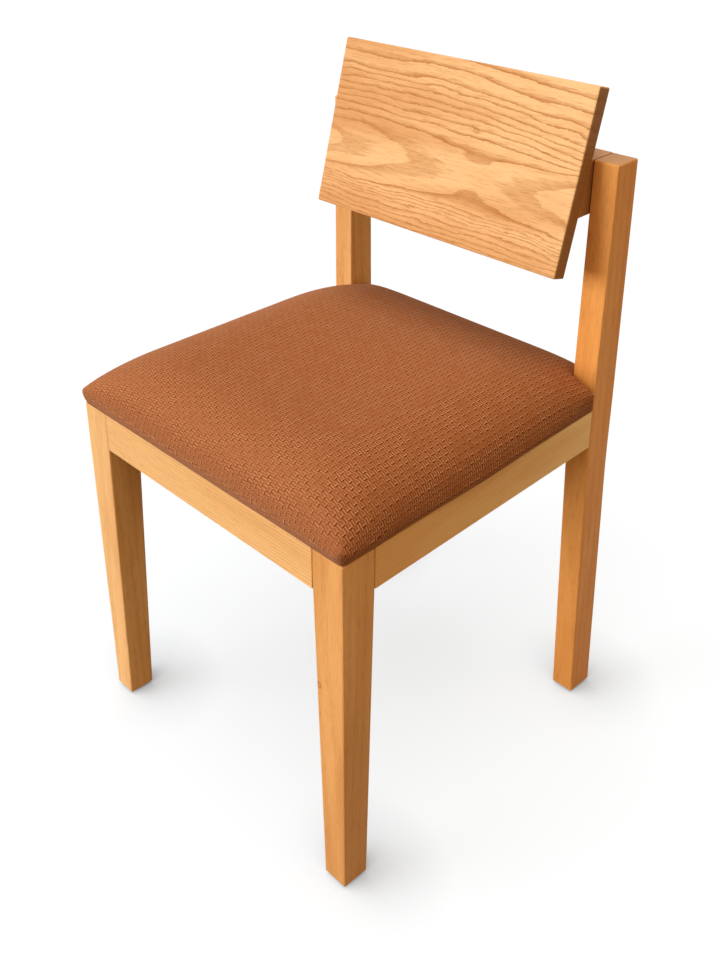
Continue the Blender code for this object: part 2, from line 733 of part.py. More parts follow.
def post_notches(low, high):
    # room for the posts at the rear corners of the pad
    tools = []
    for sign in SIDES.values():
        inner, front = POST_INNER_X - PAD_POST_GAP, SEAT_DEPTH - PAD_POST_GAP
        outer, rear = FRONT_HALF + PAD_BULGE + CUT_MARGIN, POST_REAR_Y + PAD_BULGE + CUT_MARGIN
        plan = [(inner, front), (outer, front), (outer, rear), (inner, rear)]
        tools.append(prism("notch", mirrored(plan, sign), low - CUT_MARGIN, high + CUT_MARGIN))
    return tools


def seat_cover():
    bm, _ = pad_skin(pad_wall_loops() + pad_top_loops())
    if max(bm.faces, key=lambda face: face.calc_center_median().z).normal.z < 0:
        bmesh.ops.reverse_faces(bm, faces=bm.faces)
    mesh = bpy.data.meshes.new("cover")
    bm.to_mesh(mesh)
    bm.free()
    cover = bpy.data.objects.new("cover", mesh)
    bpy.context.collection.objects.link(cover)
    shell = cover.modifiers.new("cloth_thickness", "SOLIDIFY")
    shell.thickness = COVER_THICKNESS
    shell.offset = -1
    bake(cover)
    cover = cut(cover, post_notches(COVER_BOTTOM, PAD_WIDEST + PAD_CROWN))
    cover.data.shade_smooth()
    cover.data.set_sharp_from_angle(angle=EASE_ANGLE)
    return cover


def seat_foam():
    bm, edge = pad_skin(pad_top_loops())
    bmesh.ops.contextual_create(bm, geom=edge)
    bm.faces.ensure_lookup_table()
    bmesh.ops.recalc_face_normals(bm, faces=bm.faces)
    bm.normal_update()
    inset = COVER_THICKNESS + 2 * GAP
    for vertex in bm.verts:
        slope = Vector((vertex.normal.x, vertex.normal.y, max(vertex.normal.z, 0)))
        vertex.co -= slope.normalized() * inset
    for vertex in edge:
        vertex.co.z = BASE_TOP + GAP
    foam = cut(object_from("foam", bm), post_notches(BASE_TOP, PAD_WIDEST + PAD_CROWN))
    foam.data.shade_smooth()
    foam.data.set_sharp_from_angle(angle=EASE_ANGLE)
    return foam


def seat_base():
    plan = [(p.x, p.y) for p in pad_outline(-BASE_INSET)]
    base = prism("base", plan, BASE_BOTTOM, BASE_TOP)
    return cut(base, post_notches(BASE_BOTTOM, BASE_TOP) + seat_screw_holes())


def dust_cover():
    plan = [(p.x, p.y) for p in pad_outline(-DUST_INSET)]
    top = BASE_BOTTOM - GAP
    sheet = prism("sheet", plan, top - DUST_THICKNESS, top)
    return cut(sheet, post_notches(top - DUST_THICKNESS, top) + seat_screw_holes())


# Glides

def glide(centre):
    outer, hole = GLIDE_DIAMETER / 2, NAIL_DIAMETER / 2 + HOLE_CLEARANCE
    recess, ledge = NAIL_HEAD / 2 + HOLE_CLEARANCE, NAIL_SINK + NAIL_HEAD_HEIGHT + GAP
    profile = [
        (recess, 0), (outer - GLIDE_ROUND, 0), (outer, GLIDE_ROUND), (outer, GLIDE_THICKNESS),
        (hole, GLIDE_THICKNESS), (hole, ledge), (recess, ledge),
    ]
    disc = turned_ring("glide", profile, GLIDE_SIDES)
    disc.data.transform(Matrix.Translation(centre))
    return disc


def glide_nail(centre):
    low = NAIL_SINK
    high = NAIL_SINK + NAIL_HEAD_HEIGHT
    tip = FOOT_LEVEL + NAIL_BITE
    radius = NAIL_DIAMETER / 2
    profile = [
        (0, low), (NAIL_HEAD / 2, low), (NAIL_HEAD / 2, high), (radius, high),
        (radius, tip - NAIL_DIAMETER), (0, tip),
    ]
    nail = turned("nail", profile)
    nail.data.transform(Matrix.Translation(centre))
    return nail


# Assembly

def build():
    clear_scene()
    oak = make_material("oak", (0.60, 0.29, 0.085), 0.42)
    cloth = make_material("woven_cloth", (0.33, 0.105, 0.036), 0.92)
    foam = make_material("foam", (0.78, 0.70, 0.46), 0.95)
    plywood = make_material("plywood", (0.56, 0.40, 0.22), 0.70)
    lining = make_material("lining_cloth", (0.025, 0.025, 0.027), 0.95)
    steel = make_material("zinc_steel", (0.62, 0.62, 0.60), 0.35, 1.0)
    nylon = make_material("nylon", (0.09, 0.075, 0.06), 0.55)

    root = bpy.data.objects.new("chair_origin", None)
    bpy.context.collection.objects.link(root)
    root.location = (0, -CENTRE_Y, 0)

    for side, sign in SIDES.items():
        place(front_leg(sign), f"front_leg_{side}", (sign * FRONT_HALF, 0, FOOT_LEVEL), oak, root)
        place(back_post(sign), f"back_post_{side}", (sign * REAR_HALF, SEAT_DEPTH, FOOT_LEVEL), oak, root)
        middle = (LEG_DEPTH + SEAT_DEPTH) / 2
        outer_face = (sign * side_outer_x(middle), middle, RAIL_TOP)
        place(side_rail(sign), f"side_rail_{side}", outer_face, oak, root)
        for end in ENDS:
            build_corner(end, side, root, oak, steel, nylon)

    place(front_rail(), "front_rail", (0, 0, RAIL_TOP), oak, root)
    place(rear_rail(), "rear_rail", (0, POST_REAR_Y, RAIL_TOP), oak, root)
    place(back_rail(), "back_rail", (0, post_rear_y(BACK_RAIL_BOTTOM), BACK_RAIL_BOTTOM), oak, root)
    board = place(backrest_board(), "backrest_board", board_origin(), oak, root)
    board.rotation_euler = (-BOARD_TILT, 0, 0)
    for number, seat in enumerate(board_screw_points(), 1):
        place(board_screw(seat), f"backrest_screw_{number}", seat, steel, root)
        place(board_plug(seat), f"screw_plug_{number}", (seat.x, post_rear_y(seat.z), seat.z), oak, root)

    seat_centre = Vector((0, POST_REAR_Y / 2, 0))
    place(seat_base(), "seat_base", seat_centre + Vector((0, 0, BASE_BOTTOM)), plywood, root)
    place(seat_foam(), "seat_foam", seat_centre + Vector((0, 0, BASE_TOP)), foam, root)
    place(seat_cover(), "seat_cover", seat_centre + Vector((0, 0, COVER_BOTTOM)), cloth, root)
    place(dust_cover(), "dust_cover", seat_centre + Vector((0, 0, BASE_BOTTOM)), lining, root)


def build_corner(end, side, root, oak, steel, nylon):
    # what each corner of the chair repeats: block, screws, glide and nail
    sign = SIDES[side]
    corner, _ = block_corner(end, sign)
    place(corner_block(end, sign), f"corner_block_{end}_{side}", corner, oak, root)
    for rail, (seat, outward) in block_screw_seats(end, sign).items():
        place(block_screw(seat, outward), f"block_screw_{end}_{side}_{rail}", seat, steel, root)
    seat = seat_screw_seat(end, sign)
    place(seat_screw(seat), f"seat_screw_{end}_{side}", seat, steel, root)
    foot = foot_centre(end, sign)
    place(glide(foot), f"glide_{end}_{side}", foot, nylon, root)
    place(glide_nail(foot), f"glide_nail_{end}_{side}", foot, steel, root)


build()
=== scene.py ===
import math

import bmesh
import bpy
import numpy as np
from mathutils import Matrix, Vector


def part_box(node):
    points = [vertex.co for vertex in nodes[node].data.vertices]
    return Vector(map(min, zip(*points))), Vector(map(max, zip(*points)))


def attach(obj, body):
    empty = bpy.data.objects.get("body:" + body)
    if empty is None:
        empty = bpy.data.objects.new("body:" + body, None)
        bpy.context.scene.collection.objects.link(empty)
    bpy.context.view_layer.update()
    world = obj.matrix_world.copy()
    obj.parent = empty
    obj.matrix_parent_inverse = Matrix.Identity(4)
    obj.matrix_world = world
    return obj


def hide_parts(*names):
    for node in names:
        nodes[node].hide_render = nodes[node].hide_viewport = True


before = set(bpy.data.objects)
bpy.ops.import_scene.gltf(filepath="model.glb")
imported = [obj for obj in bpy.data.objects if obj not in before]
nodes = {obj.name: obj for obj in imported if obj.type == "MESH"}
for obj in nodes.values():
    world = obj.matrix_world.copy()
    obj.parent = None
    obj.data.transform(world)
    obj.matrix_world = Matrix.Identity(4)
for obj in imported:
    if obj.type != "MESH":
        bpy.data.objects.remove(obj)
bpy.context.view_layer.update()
print("frame:", len(nodes), "nodes")

upright = (0.0, 0.0, 1.0)
sideways = (1.0, 0.0, 0.0)
lengthways = (0.0, 1.0, 0.0)


class Wire:  # one output of a material's node, to reckon with
    def __init__(self, tree, socket=None):
        self.tree = tree
        self.socket = socket

    def make(self, kind, settings, values, out=0):
        node = self.tree.nodes.new("ShaderNode" + kind)
        for key, value in settings.items():
            if key == "stops":  # of a colour ramp: place, then colour
                ramp = node.color_ramp.elements
                ramp.remove(ramp[1])
                ramp[0].position = value[0][0]
                for place, _ in value[1:]:
                    ramp.new(place)
                for stop, (_, tint) in zip(ramp, value):
                    stop.color = (*tint, 1.0)
            else:
                setattr(node, key, value)
        for key, value in values.items():
            if isinstance(value, Wire):
                self.tree.links.new(value.socket, node.inputs[key])
            else:
                node.inputs[key].default_value = value
        return Wire(self.tree, node.outputs[out])

    def maths(self, operation, *values):
        return self.make("Math", {"operation": operation}, dict(enumerate(values)))

    def __add__(self, other):
        return self.maths("ADD", self, other)

    def __radd__(self, other):
        return self.maths("ADD", other, self)

    def __sub__(self, other):
        return self.maths("SUBTRACT", self, other)

    def __rsub__(self, other):
        return self.maths("SUBTRACT", other, self)

    def __mul__(self, other):
        return self.maths("MULTIPLY", self, other)

    def __rmul__(self, other):
        return self.maths("MULTIPLY", other, self)

    def __truediv__(self, other):
        return self.maths("DIVIDE", self, other)

    def __mod__(self, other):
        return self.maths("FLOORED_MODULO", self, other)

    def root(self):
        return self.maths("SQRT", self)

    def floor(self):
        return self.maths("FLOOR", self)

    def above(self, low):  # what is left over a level, never under 0
        return self.maths("MAXIMUM", self - low, 0.0)

    def highest(self, other):
        return self.maths("MAXIMUM", self, other)

    def size(self):
        return self.maths("ABSOLUTE", self)

    def step(self, low, high):  # smooth rise from 0 at low to 1 at high
        values = {0: self, 1: low, 2: high, 3: 0.0, 4: 1.0}
        return self.make("MapRange", {"interpolation_type": "SMOOTHSTEP"}, values)

    def along(self, axis):
        return self.make("VectorMath", {"operation": "DOT_PRODUCT"}, {0: self, 1: axis}, "Value")

    def vector(self, x, y, z):
        return self.make("CombineXYZ", {}, {0: x, 1: y, 2: z})

    def noise(self, scale, detail=2.0, roughness=0.5):
        values = {"Vector": self, "Scale": scale, "Detail": detail, "Roughness": roughness}
        return self.make("TexNoise", {}, values)

    def ramp(self, *stops):
        return self.make("ValToRGB", {"stops": stops}, {0: self})

    def blend(self, share, other):  # this colour, going over to another one by a share
        return self.make("Mix", {"data_type": "RGBA"}, {0: share, 6: self, 7: (*other, 1.0)}, 2)

    def bump(self, strength, distance):
        values = {"Strength": strength, "Distance": distance, "Height": self}
        return self.make("Bump", {}, values)

    def hump(self, rise, fall):
        return self.step(*rise) * self.step(*fall)

    def spot(self):  # where a point lies in the chair's frame
        return self.make("TexCoord", {}, {}, "Object")

    def facing(self):
        return self.make("NewGeometry", {}, {}, "Normal")

    def openness(self, samples, values):  # 0 in a closed corner, 1 in the open
        return self.make("AmbientOcclusion", {"samples": samples}, values, "AO")


def newFinish(name):
    finish = bpy.data.materials.new(name)
    finish.use_nodes = True
    finish.node_tree.nodes.clear()
    return finish, Wire(finish.node_tree)


def showSurface(pen, surface, kind="Material"):
    output = pen.tree.nodes.new("ShaderNodeOutput" + kind)
    pen.tree.links.new(surface.socket, output.inputs["Surface"])


def close(pen, values):  # one surface, joined to the material's output
    showSurface(pen, pen.make("BsdfPrincipled", {}, values))


def paint(item, finish):
    item.data.materials.clear()
    item.data.materials.append(finish)


def addItem(name, data):
    item = bpy.data.objects.new(name, data)
    bpy.context.collection.objects.link(item)
    return item


def meshFrom(bm, name):
    mesh = bpy.data.meshes.new(name)
    bm.to_mesh(mesh)
    bm.free()
    return mesh


def settle(item):  # what its modifiers make of it becomes its own mesh
    graph = bpy.context.evaluated_depsgraph_get()
    item.data = bpy.data.meshes.new_from_object(item.evaluated_get(graph))
    item.modifiers.clear()


def joinRings(bm, before, after):  # a wall of faces between two closed rings of points
    for side in range(len(before)):
        other = (side + 1) % len(before)
        bm.faces.new((before[side], before[other], after[other], after[side]))


def closeTube(bm, rings):
    for before, after in zip(rings, rings[1:]):
        joinRings(bm, before, after)
    bm.faces.new(rings[0][::-1])
    bm.faces.new(rings[-1])


def portion(value):  # held between 0 and 1
    return min(max(value, 0.0), 1.0)


def eased(value):  # the same, slow at both ends
    share = portion(value)
    return share * share * (3.0 - 2.0 * share)


# Oak. Each piece has its own cut of the log: grain runs along one axis, and the year rings stand
# round a line beside the piece, so faces, edges and ends belong together.

oakColours = {
    "pale": (0.930, 0.528, 0.208), "honey": (0.790, 0.360, 0.112), "end": (0.560, 0.250, 0.082),
    # the last colour here is painted shade, for closed-in corners
    "ring": (0.490, 0.185, 0.048), "pore": (0.340, 0.118, 0.028), "cornerShade": (0.09, 0.020, 0.002),
}
oakCut = {  # of every piece, unless its own cut says otherwise
    # how often the wood changes in a metre, along the grain and across it
    "fibreRun": (45.0, 640.0), "hairRun": (80.0, 1150.0), "streakRun": (8.0, 190.0),
    "toneRun": (3.2, 22.0), "swayRun": (2.4, 7.0), "rippleRun": (15.0, 110.0),
    # porous wood at the start of a year: a band that frays out into the hard wood, and a line
    "wide": 0.25, "fray": 0.50, "fade": 0.20, "band": 0.45, "line": 0.75, "crisp": 1.0,
    "bandStart": (0.96, 1.0), "lineStart": (0.965, 1.0), "lineEnd": (0.20, 0.02),
    "pores": 0.30, "poreEdge": (0.54, 0.70), "strandEdge": (0.42, 0.80), "toneEdge": (0.30, 0.74),
    "drift": 0.0, "colours": {},
    "drinks": 0.50, "endEdge": (0.80, 0.97),  # end grain drinks the finish and goes darker
    "knots": [], "knotLength": 0.55, "knotReach": 3.2, "knotBend": 1.1,
    "knotHeart": 0.40, "heartFade": (1.3, 0.3),
    "knotRim": 0.85, "rimFade": (0.45, 0.0), "knotEdge": 0.60,
    "cornerShade": 0.0, "cornerShadeReach": 0.09,  # painted shade in corners, and how far it reaches
    "edge": 0.0022, "worn": 0.30, "wornEdge": (0.995, 0.90),  # edges are rubbed paler
    "rough": 0.40, "relief": (0.14, 0.0004),
}
grainAxes = ("along", "across", "depth")


def grainWay(pen, look):  # how far a point lies along the grain, across it and into the wood
    spot = pen.spot()
    return [spot.along(look[axis]) for axis in grainAxes]


def grainNoise(pen, way, run, detail=2.0, roughness=0.5):  # drawn out along the grain
    along, across, depth = way
    drawn = pen.vector(along * run[0], across * run[1], depth * run[1])
    return drawn.noise(1.0, detail, roughness)


def knotDistance(way, look, point):
    point = Vector(point)
    a, b, c = (place - point.dot(Vector(look[axis])) for place, axis in zip(way, grainAxes))
    return (a * a * look["knotLength"] + b * b + c * c).root()


def oakSurface(pen, look, phase, way):
    # colour, gloss and relief, from where a point lies between two year rings
    fibre = grainNoise(pen, way, look["fibreRun"], 3.0, 0.6)
    hair = grainNoise(pen, way, look["hairRun"])
    streak = grainNoise(pen, way, look["streakRun"], 3.0, 0.55)
    tone = grainNoise(pen, way, look["toneRun"])
    share = phase % 1.0
    ending = look["wide"] + (fibre - 0.5) * look["fray"]
    band = share.step(ending + look["fade"], ending).highest(share.step(*look["bandStart"]))
    line = share.step(*look["lineEnd"]).highest(share.step(*look["lineStart"]))
    ring = look["band"] * band + look["line"] * line * look["crisp"]
    pores = hair.step(*look["poreEdge"]) * (0.30 + 0.70 * band)
    strands = (fibre.step(*look["strandEdge"]) + 0.5 * (streak - 0.4)).above(0.0)
    deep = tone.step(*look["toneEdge"]) + look["deep"] + way[0] * look["drift"]
    colours = {**oakColours, **look["colours"]}
    colour = deep.ramp((0.0, colours["pale"]), (1.0, colours["honey"]))
    colour = colour.blend(ring * look["contrast"] * (0.60 + 0.8 * streak), colours["ring"])
    colour = colour.blend(strands * look["fibres"], colours["ring"])
    colour = colour.blend(pores * look["pores"], colours["pore"])
    facing = pen.facing()
    cut = facing.along(look["along"]).size().step(*look["endEdge"])
    colour = colour.blend(cut * look["drinks"], colours["end"])
    for *point, radius in look["knots"]:
        near = knotDistance(way, look, point) / radius
        colour = colour.blend(near.step(*look["heartFade"]) * look["knotHeart"], colours["ring"])
        rim = (near - look["knotRim"]).size().step(*look["rimFade"])
        colour = colour.blend(rim * look["knotEdge"], colours["pore"])
    # painted shade: darker where other parts close a corner in, standing in for the shade that falls
    # there
    if look["cornerShade"]:
        closed = 1.0 - pen.openness(8, {"Distance": look["cornerShadeReach"]})
        colour = colour.blend(closed * look["cornerShade"], colours["cornerShade"])
    soft = pen.make("Bevel", {"samples": 4}, {"Radius": look["edge"]}, "Normal")
    worn = soft.along(facing).step(*look["wornEdge"]) * (0.35 + 0.65 * streak)
    colour = colour.blend(worn * look["worn"], oakColours["pale"])
    rough = look["rough"] + 0.12 * ring + 0.14 * pores + 0.10 * (tone - 0.5) + 0.05 * worn
    relief = 0.7 * fibre - 0.6 * ring - pores
    close(pen, {
        "Base Color": colour, "Roughness": rough, "IOR": 1.48, "Specular IOR Level": 0.11,
        "Specular Tint": (1.0, 0.74, 0.44, 1.0), "Normal": relief.bump(*look["relief"]),
    })


def oakFinish(name, look):
    finish, pen = newFinish(name)
    look = {**oakCut, **look}
    look["depth"] = tuple(Vector(look["along"]).cross(Vector(look["across"])))
    way = grainWay(pen, look)
    along, across, depth = way
    sway = grainNoise(pen, way, look["swayRun"]) - 0.5
    ripple = grainNoise(pen, way, look["rippleRun"]) - 0.5
    aside = across - look["pith"][0] + sway * look["sway"]
    behind = depth - look["pith"][1] + along * look["slant"]
    fromPith = (aside * aside + behind * behind).root()
    phase = fromPith / look["pitch"] + ripple * look["ripple"]
    for *point, radius in look["knots"]:  # rings bend round a knot
        near = knotDistance(way, look, point) / radius
        phase = phase + near.step(look["knotReach"], 0.0) * look["knotBend"]
    oakSurface(pen, look, phase, way)
    return finish


redder = {"pale": (0.940, 0.430, 0.122), "honey": (0.820, 0.325, 0.076), "end": (0.480, 0.225, 0.072)}
# golden is painted light: paler colours for the right side rail's outer face
golden = {"pale": (1.000, 0.640, 0.265), "honey": (0.870, 0.430, 0.138)}
deeper = {"pale": (0.870, 0.425, 0.138), "honey": (0.700, 0.310, 0.086)}

legCut = {
    "along": upright, "across": sideways, "pitch": 0.0105, "sway": 0.030, "ripple": 0.45,
    "crisp": 0.10, "contrast": 0.18, "fibres": 0.30, "drinks": 0.85,
}
legGrain = {
    "front_leg_left": {"pith": (-0.17, -0.30), "deep": -0.05, "slant": 0.02},
    "front_leg_right": {
        "pith": (0.235, -0.30), "deep": 0.60, "drift": -1.7, "slant": -0.03, "colours": deeper,
        "knots": [(0.1815, -0.2259, 0.2690, 0.0032)],
    },
    "back_post_left": {"pith": (-0.205, 0.24), "deep": -0.15, "slant": 0.045},
    "back_post_right": {"pith": (0.170, 0.29), "deep": 0.45, "slant": 0.03, "colours": redder},
}
railCut = {
    "across": upright, "slant": 0.02, "sway": 0.014, "ripple": 0.45, "contrast": 0.20, "fibres": 0.22,
}
railGrain = {
    "front_rail": {
        "along": sideways, "pith": (0.60, 0.05), "pitch": 0.0031, "deep": -0.45, "contrast": 0.30,
    },
    "rear_rail": {"along": sideways, "pith": (0.36, -0.02), "pitch": 0.0050, "deep": 0.30},
    # the back rail gets strong painted shade in the corners between the board, the rail and the posts
    "back_rail": {
        "along": sideways, "pith": (0.62, -0.10), "pitch": 0.0046, "deep": 0.60, "cornerShade": 1.30,
    },
    "side_rail_left": {"along": lengthways, "pith": (0.50, 0.10), "pitch": 0.0052, "deep": 0.35},
    # painted light: golden colours and a drift to paler towards the rear, where more light falls on the
    # rail's outer face
    "side_rail_right": {
        "along": lengthways, "pith": (0.31, 0.26), "pitch": 0.0066, "deep": 0.32, "drift": -4.2,
        "colours": golden, "contrast": 0.05, "fibres": 0.12, "pores": 0.10,
    },
}
blockCut = {
    "across": upright, "pith": (0.40, 0.05), "pitch": 0.0045, "sway": 0.012, "ripple": 0.35,
    "slant": 0.0, "contrast": 0.35, "deep": 0.2, "fibres": 0.34,
    "apart": 0.01,  # from the cut of one block to the next
}
plugCut = {
    "along": upright, "across": sideways, "pith": (0.30, 0.20), "pitch": 0.0030, "sway": 0.010,
    "ripple": 0.3, "slant": 0.05, "contrast": 0.4, "deep": 0.6, "fibres": 0.34,
}


def finishFrame():
    for cut, grain in ((legCut, legGrain), (railCut, railGrain)):
        for node, look in grain.items():
            paint(nodes[node], oakFinish("oak_" + node, {**cut, **look}))
    blocks = sorted(node for node in nodes if node.startswith("corner_block"))
    for index, node in enumerate(blocks):
        along = Vector((1, 1 if index % 3 else -1, 0)).normalized()  # slantwise over its corner
        pith = (blockCut["pith"][0] + blockCut["apart"] * index, blockCut["pith"][1])
        paint(nodes[node], oakFinish("oak_" + node, {**blockCut, "along": along, "pith": pith}))
    plugOak = oakFinish("oak_plug", plugCut)
    for node in nodes:
        if node.startswith("screw_plug"):
            paint(nodes[node], plugOak)


boardGrain = {
    "tilt": math.radians(15.2),
    "foot": (0.0, 0.13765, 0.59865),  # lower rear edge of the board
    # in mm, along and up the board: where two flames of the grain point at each other
    "saddle": (54.0, 80.0),
    "swayRun": (1 / 95.0, 1 / 34.0), "rippleRun": (1 / 30.0, 1 / 8.0), "jagRun": (1 / 6.5, 1 / 1.3),
    "rise": (13.0, 4.5, 2.2), "stray": (0.0, 30.0, 8.0),  # by sway, ripple and jag
    "bowPlace": -80.0, "bow": 0.00025, "bowEdge": (12.0, 45.0),
    "rings": 0.105,  # in a mm, and what comes to it from a height over the saddle, or under it
    "over": [(26.0, 0.03), (94.0, -0.07)],
    "under": [(26.0, 0.035), (38.0, 0.15), (54.0, -0.11)],
    "flame": 3.78, "blunt": 20.0, "taper": 0.0090, "taperRight": 0.0020, "inward": 0.05,
    "thin": 0.55, "thinEdge": (14.0, 60.0), "flatEdge": (12.0, 34.0),
    "flatCrisp": 0.10, "flatWide": 0.34, "steepWide": 0.20,
    "heart": 0.50, "heartEdge": (34.0, 8.0),  # paler in the flames
    "contrast": 0.74, "deep": 0.12, "drift": -1.5, "fibres": 0.46, "pores": 0.40, "drinks": 0.90,
    # the dark end colour, with drinks, makes the board's ends far darker: partly their own end grain,
    # partly painted shade
    "colours": {
        "pale": (0.880, 0.518, 0.240), "honey": (0.690, 0.345, 0.134), "end": (0.295, 0.110, 0.028),
    },
    "knots": [(0.0410, 0.15369, 0.72900, 0.0034)], "knotEdge": 0.22,
}


def boardFinish(look):
    finish, pen = newFinish("oak_backrest_board")
    turn = Matrix.Rotation(-look["tilt"], 3, "X")
    look = {
        **oakCut, **look, "along": sideways, "across": tuple(turn @ Vector(upright)),
        "depth": tuple(turn @ Vector(lengthways)),
    }
    way = grainWay(pen, look)
    foot = Vector(look["foot"])
    inMm = [(place - foot.dot(Vector(look[axis]))) * 1000.0 for place, axis in zip(way, grainAxes)]
    right, up, inward = inMm
    span, height = right - look["saddle"][0], up - look["saddle"][1]
    runs = (("swayRun", 1.0), ("rippleRun", 2.0), ("jagRun", 1.0))
    for (run, detail), rise, stray in zip(runs, look["rise"], look["stray"]):
        shift = grainNoise(pen, inMm, look[run], detail) - 0.5
        span, height = span + shift * stray, height + shift * rise
    bow = right - look["bowPlace"]
    height = height + bow * bow * look["bow"] * height.step(*look["bowEdge"])
    rings = look["rings"] * height
    for start, more in look["over"]:
        rings = rings + more * height.above(start)
    low = -1.0 * height
    for start, more in look["under"]:  # they bundle up, then open again
        rings = rings - more * low.above(start)
    reach = (span * span + look["blunt"] ** 2).root() - look["blunt"]
    flame = look["flame"] - look["taper"] * reach - look["taperRight"] * span.above(0.0)
    beside = height.size()
    flame = (flame - look["inward"] * inward) * (1.0 - look["thin"] * beside.step(*look["thinEdge"]))
    phase = (rings * rings + flame * flame).root()
    away = beside.step(*look["flatEdge"])  # 0 in the flames, where rings are cut flat and spread out
    look["crisp"] = look["flatCrisp"] + (1.0 - look["flatCrisp"]) * away
    look["wide"] = look["flatWide"] + (look["steepWide"] - look["flatWide"]) * away
    look["deep"] = look["deep"] - look["heart"] * beside.step(*look["heartEdge"])
    oakSurface(pen, look, phase, way)
    return finish


finishFrame()
paint(nodes["backrest_board"], boardFinish(boardGrain))
print("oak frame painted")


# Cushion. A woven cover, pulled over foam and round the edge of the seat base, with its rear
# corners cut out for the posts. It is made as a grid of cloth, then blown up a little.

pad = {
    "front": -0.22595, "rear": 0.21545,  # faces of the front and rear rails
    "frontHalf": 0.2162, "rearHalf": 0.2092,
    "notchX": 0.1783, "notchY": 0.17525,  # just clear of the posts
    "slack": 1e-5,  # points as near as this lie on a line
}

cushionLook = {
    "bulge": 0.0050, "flush": 0.15, "flushRun": 0.080, "sideFacing": 0.9,
    "crown": 0.0425, "roll": 0.100, "rearRoll": 0.150, "roundness": 2.1,
    "seam": 0.4333, "widest": 0.4474, "baseTop": 0.4474, "turnUnder": 0.0190,
    "cornerRound": 0.0120,
    "tuck": 0.0030, "tuckWidth": 0.034,  # pulled down against the posts
    "square": 0.34, "squareRun": 0.055,  # height left at the sides, beside the posts
    "droop": 0.0034, "lip": 0.0014,  # of the lower edge, in the middle of the sides
    "droopFrom": 0.10, "droopRun": 0.80, "sideBand": 0.004,
    "wallSteps": 4, "thick": 0.0015, "hem": 0.0002, "seamEdge": 0.0012, "baseEdge": 0.0026,
    "heldEdge": 0.0011, "heldRise": 0.0004, "heldGap": 1e-6,
    "cell": 0.0060,
    "pressure": 4.0, "most": 0.0050, "frames": 20, "postReach": 0.02,
    "cloth": {
        "quality": 5, "mass": 0.30, "tension_stiffness": 20, "compression_stiffness": 20,
        "shear_stiffness": 8, "bending_stiffness": 0.8,
    },
    "fill": 0.85,
}


def halfWidth(y):
    share = (y - pad["front"]) / (pad["rear"] - pad["front"])
    return pad["frontHalf"] + (pad["rearHalf"] - pad["frontHalf"]) * share


def bulgeAt(y, look):  # of the pad's sides, which come in flush to the posts
    away = eased((pad["notchY"] - y) / look["flushRun"])
    return look["bulge"] * (look["flush"] + (1.0 - look["flush"]) * away)


def padEdge(y, look):
    return halfWidth(y) + bulgeAt(y, look)


def spread(start, end, cell):
    count = max(2, round((end - start) / cell))
    return [start + (end - start) * step / count for step in range(count + 1)]


def notchedGrid(bm, grow, cell, edgeAt):
    # flat grid over the outline, grown by an amount, with the rear corners left out
    rows = spread(pad["front"] - grow, pad["notchY"], cell)
    rearRows = spread(pad["notchY"], pad["rear"] + grow, cell)[1:]
    inner = spread(0.0, pad["notchX"], cell)
    sideCount = round((pad["frontHalf"] + grow - pad["notchX"]) / cell)
    grid = {}
    for j, y in enumerate(rows + rearRows):
        columns = list(inner)
        if j < len(rows):
            reach = edgeAt(y) - pad["notchX"]
            columns += [pad["notchX"] + reach * k / sideCount for k in range(1, sideCount + 1)]
        for i, x in enumerate(columns):
            grid[i, j] = bm.verts.new((x, y, 0.0))
            if i:
                grid[-i, j] = bm.verts.new((-x, y, 0.0))
    for i, j in list(grid):
        corners = [(i, j), (i + 1, j), (i + 1, j + 1), (i, j + 1)]
        if all(corner in grid for corner in corners):
            bm.faces.new([grid[corner] for corner in corners])
    return grid


def rimOf(bm):
    # the open edge, in order, counter-clockwise as seen from above
    edges = [edge for edge in bm.edges if len(edge.link_faces) == 1]
    beside = {}
    for edge in edges:
        for vertex in edge.verts:
            beside.setdefault(vertex, []).append(edge.other_vert(vertex))
    start = edges[0].verts[0]
    rim = [start, beside[start][0]]
    while True:
        following = [vertex for vertex in beside[rim[-1]] if vertex is not rim[-2]][0]
        if following is start:
            break
        rim.append(following)
    area = sum(a.co.x * b.co.y - b.co.x * a.co.y for a, b in zip(rim, rim[1:] + rim[:1]))
    return rim if area > 0 else rim[::-1]


def rolled(distance, width, roundness):
    share = 1.0 - portion(distance / width)
    return (1.0 - share ** roundness) ** (1.0 / roundness)


def sideRise(x, y, look):
    # rolled over to the side, but straight and square where the pad ends at a post
    fromEdge, within = padEdge(y, look) - abs(x), padEdge(y, look) - pad["notchX"]
    share = rolled(fromEdge, look["roll"], look["roundness"])
    if fromEdge > within:
        return share
    near = eased(1.0 - (pad["notchY"] - y) / look["squareRun"])
    inner = rolled(within, look["roll"], look["roundness"])
    straight = look["square"] + (inner - look["square"]) * fromEdge / within
    return share + (straight - share) * near


def padHeight(x, y, look):
    grow, power = look["bulge"], look["roundness"]
    share = sideRise(x, y, look)
    share *= rolled(y - pad["front"] + grow, look["roll"], power)
    share *= rolled(pad["rear"] + grow - y, look["rearRoll"], power)
    height = look["widest"] + look["crown"] * share
    inside, ahead = pad["notchX"] - abs(x), pad["notchY"] - y  # of a post
    beside = math.hypot(inside, ahead) if inside > 0 and ahead > 0 else max(inside, ahead)
    return height - look["tuck"] * (1.0 - rolled(beside, look["tuckWidth"], 2.0))


def roundCorners(grid, look):
    # draws the two front corners of the grid in to an arc
    r, grow = look["cornerRound"], look["bulge"]
    for vertex in grid.values():
        x, y = vertex.co.x, vertex.co.y
        a = (abs(x) - (halfWidth(y) + grow - r)) / r
        b = ((pad["front"] - grow + r) - y) / r
        if a > 0 and b > 0:
            out, ahead = a * math.sqrt(max(1 - b * b / 2, 0.0)), b * math.sqrt(max(1 - a * a / 2, 0.0))
            vertex.co.x = math.copysign(halfWidth(y) + grow - r + r * out, x)
            vertex.co.y = pad["front"] - grow + r - r * ahead


